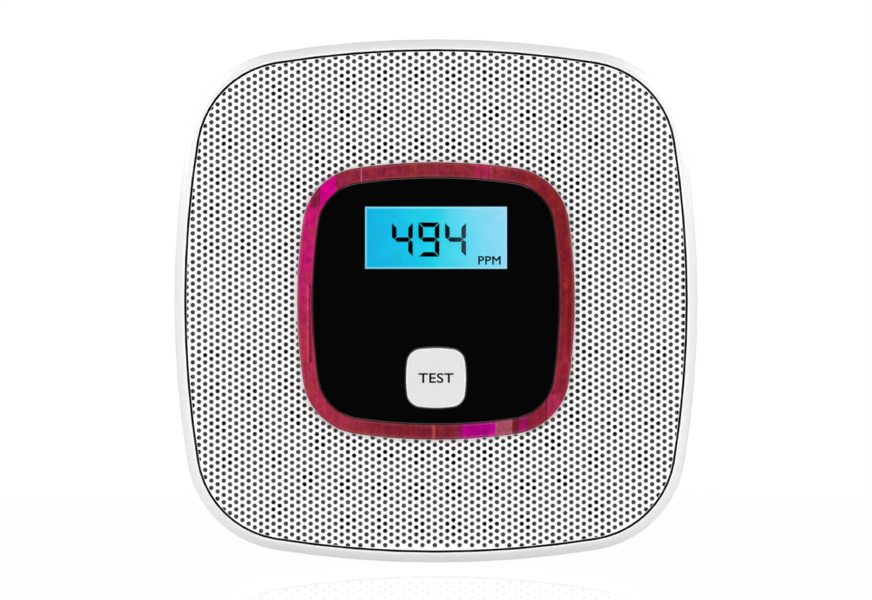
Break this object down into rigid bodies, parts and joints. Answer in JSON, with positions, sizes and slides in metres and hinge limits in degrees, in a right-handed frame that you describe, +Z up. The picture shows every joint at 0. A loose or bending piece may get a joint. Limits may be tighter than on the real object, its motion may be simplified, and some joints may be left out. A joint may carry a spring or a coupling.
{
  "type": "carbon monoxide alarm",
  "caption": "Wall-mounted battery carbon monoxide alarm: rounded-square white case with a finely perforated front, red light ring, black panel, digital display and test button.",
  "frame": {"origin": "centre of the wall bracket's back face, which lies on the wall and on the twist axis", "axes": "+Z up the wall, +X to the right seen from the front, -Y out of the wall towards the front, so +Y is the outward normal of the wall face"},
  "size_m": [0.11, 0.0382, 0.11],
  "materials": {
    "white_abs": "fine satin moulded ABS",
    "grille_white": "satin white over a finely perforated sheet",
    "ring_red": "clear red acrylic light guide",
    "panel_black": "piano black",
    "window_clear": "clear polished window",
    "lcd_cyan": "backlit blue liquid crystal display",
    "glass_rear": "clear glass",
    "backlight_white": "light guide",
    "button_grey": "satin",
    "chassis_grey": "satin",
    "switch_metal": "plated",
    "black_plastic": "satin",
    "board_green": "solder mask",
    "chip_black": "epoxy",
    "smd_body": "plain",
    "cap_metal": "bright can",
    "led_white": "diffuse",
    "connector_white": "nylon",
    "sensor_can": "plated",
    "filter_paper": "fibrous",
    "foam_grey": "foam",
    "strip_pink": "silicone",
    "piezo_brass": "bright",
    "speaker_steel": "plated",
    "cone_paper": "pressed",
    "wire_red": "insulation",
    "wire_black": "insulation",
    "cell_sleeve": "printed sleeve over a steel can",
    "contact_nickel": "nickel plated",
    "screw_zinc": "zinc plated"
  },
  "bodies": {
    "bracket": {"wall_bracket": "white_abs"},
    "alarm": {"rear_housing": "white_abs", "front_cover": "white_abs", "front_grille": "grille_white", "light_ring": "ring_red", "display_panel": "panel_black", "lcd_window": "window_clear", "lcd_gasket": "foam_grey", "lcd_front_glass": "lcd_cyan", "lcd_rear_glass": "glass_rear", "lcd_backlight": "backlight_white", "lcd_connector": "strip_pink", "display_chassis": "chassis_grey", "tact_switch": "switch_metal", "main_pcb": "board_green", "mcu_chip": "chip_black", "voice_chip": "chip_black", "smd_parts": "smd_body", "electrolytic_caps": "cap_metal", "ring_leds": "led_white", "wire_connectors": "connector_white", "co_sensor": "sensor_can", "sensor_filter": "filter_paper", "sensor_seal": "foam_grey", "siren_housing": "black_plastic", "siren_base": "board_green", "piezo_disc": "piezo_brass", "speaker_basket": "speaker_steel", "speaker_cone": "cone_paper", "speaker_magnet": "speaker_steel", "speaker_wires": "wire_red", "siren_wires": "wire_red", "battery_wire_red": "wire_red", "battery_wire_black": "wire_black", "battery_cell_1": "cell_sleeve", "battery_cell_2": "cell_sleeve", "battery_cell_3": "cell_sleeve", "positive_terminal": "contact_nickel", "negative_terminal": "contact_nickel", "link_contacts": "contact_nickel", "battery_springs": "contact_nickel", "case_screws": "screw_zinc", "pcb_screws": "screw_zinc"},
    "door": {"battery_door": "white_abs"},
    "button": {"test_button": "button_grey"},
    "plunger": {"switch_plunger": "black_plastic"}
  },
  "joints": [
    {"name": "twist_lock", "type": "hinge", "parent": "bracket", "child": "alarm", "pos_m": [0, 0, 0], "axis": [0, -1, 0], "range_deg": [0, 12]},
    {"name": "door_slide", "type": "slide", "parent": "alarm", "child": "door", "axis": [0, 0, -1], "range_m": [0, 0.082]},
    {"name": "test_press", "type": "slide", "parent": "alarm", "child": "button", "axis": [0, 1, 0], "range_m": [0, 0.0006], "stiffness_N_per_m": 400, "springref_m": -0.001},
    {"name": "plunger_press", "type": "slide", "parent": "alarm", "child": "plunger", "axis": [0, 1, 0], "range_m": [0, 0.0006]}
  ],
  "couplings": [
    {"joint": "plunger_press", "follows": "test_press", "ratio": 1}
  ]
}
